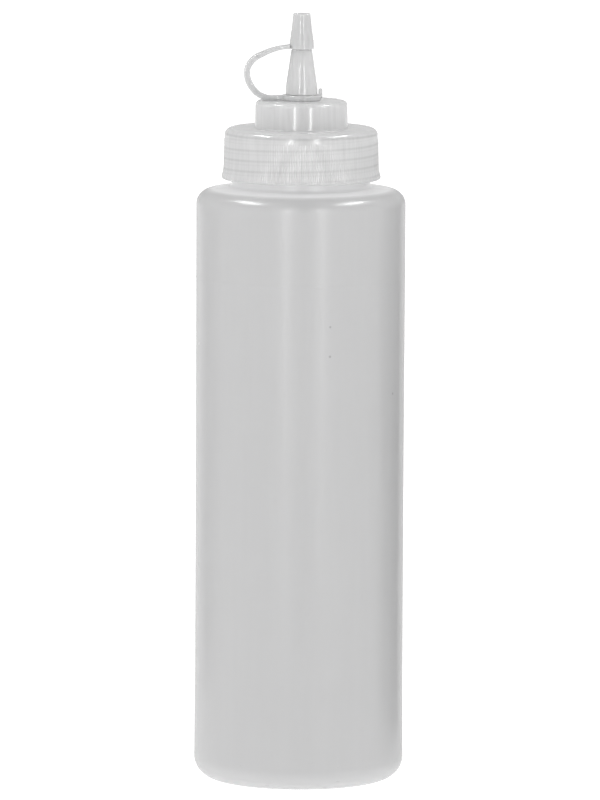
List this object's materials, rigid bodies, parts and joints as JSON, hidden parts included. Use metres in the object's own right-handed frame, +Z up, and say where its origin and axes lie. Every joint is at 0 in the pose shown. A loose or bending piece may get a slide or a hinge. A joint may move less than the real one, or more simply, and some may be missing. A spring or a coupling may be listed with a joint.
{
  "type": "condiment squeeze bottle",
  "caption": "Tall round translucent squeeze bottle with a wide screw cap, a tapered nozzle and a small tip cap held by a tether strap and ring.",
  "frame": {"origin": "on the bottle's turning axis, on the plane that its base stands on", "axes": "+Z up along the bottle's axis; the tether strap bulges towards -X; +Y away from the viewer"},
  "size_m": [0.0702, 0.0702, 0.2582],
  "materials": {
    "bottle_ldpe": "translucent natural LDPE, blow-moulded, satin, faint vertical flow lines",
    "cap_ldpe": "translucent natural LDPE, injection-moulded, semi-gloss, finely ribbed skirt",
    "strap_ldpe": "translucent natural LDPE, injection-moulded, soft sheen",
    "tip_ldpe": "translucent natural LDPE, injection-moulded, semi-gloss",
    "seal_foam": "white closed-cell PE foam, matt"
  },
  "bodies": {
    "bottle": {"bottle": "bottle_ldpe"},
    "washer": {"cap_seal": "seal_foam"},
    "cap": {"screw_cap": "cap_ldpe"},
    "ring": {"tether_ring": "strap_ldpe"},
    "strap_lower": {"tether_strap_lower": "strap_ldpe"},
    "strap_upper": {"tether_strap_upper": "strap_ldpe"},
    "tip": {"tip_cap": "tip_ldpe"}
  },
  "joints": [
    {"name": "cap_lift", "type": "slide", "parent": "bottle", "child": "washer", "axis": [0, 0, 1], "range_m": [0, 0.00962]},
    {"name": "cap_turn", "type": "hinge", "parent": "washer", "child": "cap", "pos_m": [0, 0, 0.2115], "axis": [0, 0, 1], "range_deg": [0, 990]},
    {"name": "tether_swivel", "type": "hinge", "parent": "cap", "child": "ring", "pos_m": [0, 0, 0.2299], "axis": [0, 0, 1], "continuous": true},
    {"name": "strap_root_bend", "type": "hinge", "parent": "ring", "child": "strap_lower", "pos_m": [-0.0072, 0, 0.2299], "axis": [0, 1, 0], "range_deg": [0, 40]},
    {"name": "strap_knee_bend", "type": "hinge", "parent": "strap_lower", "child": "strap_upper", "pos_m": [-0.01825, 0, 0.23825], "axis": [0, 1, 0], "range_deg": [-80, 0]},
    {"name": "tip_bend", "type": "hinge", "parent": "strap_upper", "child": "tip", "pos_m": [-0.0072, 0, 0.2466], "axis": [0, 1, 0], "range_deg": [0, 40]}
  ],
  "couplings": [
    {"joint": "cap_lift", "follows": "cap_turn", "m_per_rad": 0.00055704},
    {"joint": "strap_knee_bend", "follows": "strap_root_bend", "ratio": -2},
    {"joint": "tip_bend", "follows": "strap_root_bend", "ratio": 1}
  ]
}
